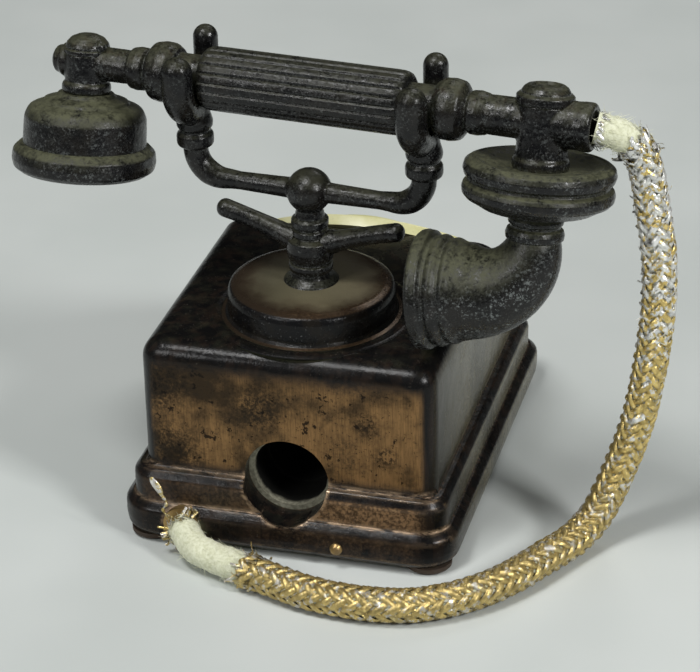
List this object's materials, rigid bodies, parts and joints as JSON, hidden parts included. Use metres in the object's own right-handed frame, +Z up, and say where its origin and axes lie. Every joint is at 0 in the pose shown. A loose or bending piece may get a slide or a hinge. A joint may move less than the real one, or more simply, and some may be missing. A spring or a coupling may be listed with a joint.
{
  "type": "miniature telephone",
  "caption": "Miniature antique cradle telephone, a die-cast pencil sharpener with a handset that rolls in its forks, a turning dial and braided cord.",
  "frame": {"origin": "centre of the plinth's footprint on the resting plane, on the bottom plate's centre foot", "axes": "+X along the pencil-hole face towards the mouthpiece, +Y towards the dial face, +Z up"},
  "size_m": [0.0738, 0.0606, 0.0544],
  "materials": {
    "bronze_casting": "antiqued dark bronze over die-cast zinc, rubbed to copper on the flat faces",
    "dark_metal": "blackened turned metal, glossy, dusty in the recesses",
    "copper_pad": "dull copper-brown",
    "steel": "plain steel",
    "alloy": "plain alloy",
    "plate_metal": "dull zinc-plated sheet",
    "cream_plastic": "yellowed pale cream plastic",
    "dial_metal": "dull brass",
    "braid": "gold and silver metallic braid over a pale cream core"
  },
  "bodies": {
    "base": {"base_housing": "bronze_casting", "bottom_plate": "plate_metal", "plate_screw_left": "steel", "plate_screw_right": "steel", "foot_front_left": "copper_pad", "foot_front_right": "copper_pad", "foot_rear_left": "copper_pad", "foot_rear_right": "copper_pad", "plinth_rivet": "copper_pad", "sharpener_block": "alloy", "sharpener_blade": "steel", "blade_screw": "steel", "cord_ferrule": "dial_metal", "dial_plate": "cream_plastic", "dial_spindle": "dial_metal", "finger_stop": "dial_metal", "turret_drum": "dark_metal", "post_screw": "steel", "cradle_post": "dark_metal", "hook_arm_left": "dark_metal", "hook_arm_right": "dark_metal", "cradle_yoke": "dark_metal", "fork_left": "dark_metal", "fork_right": "dark_metal", "cord": "braid"},
    "dial_wheel": {"finger_wheel": "cream_plastic"},
    "handset": {"handset_core": "steel", "grip_shell": "dark_metal", "stem_left": "dark_metal", "stem_right": "dark_metal", "earpiece_hub": "dark_metal", "earpiece_body": "dark_metal", "earpiece_cap": "dark_metal", "earpiece_screw": "dark_metal", "mouth_hub": "dark_metal", "dome_nut": "dark_metal", "mouth_capsule": "dark_metal", "mouth_horn": "dark_metal", "horn_rim": "dark_metal"}
  },
  "joints": [
    {"name": "handset_roll", "type": "hinge", "parent": "base", "child": "handset", "pos_m": [0, -0.01075, 0.05], "axis": [0.9954, -0.0958, 0], "range_deg": [-9, 26]},
    {"name": "dial_turn", "type": "hinge", "parent": "base", "child": "dial_wheel", "pos_m": [0, 0.01762, 0.01719], "axis": [0, 0.7682, 0.6402], "continuous": true}
  ]
}
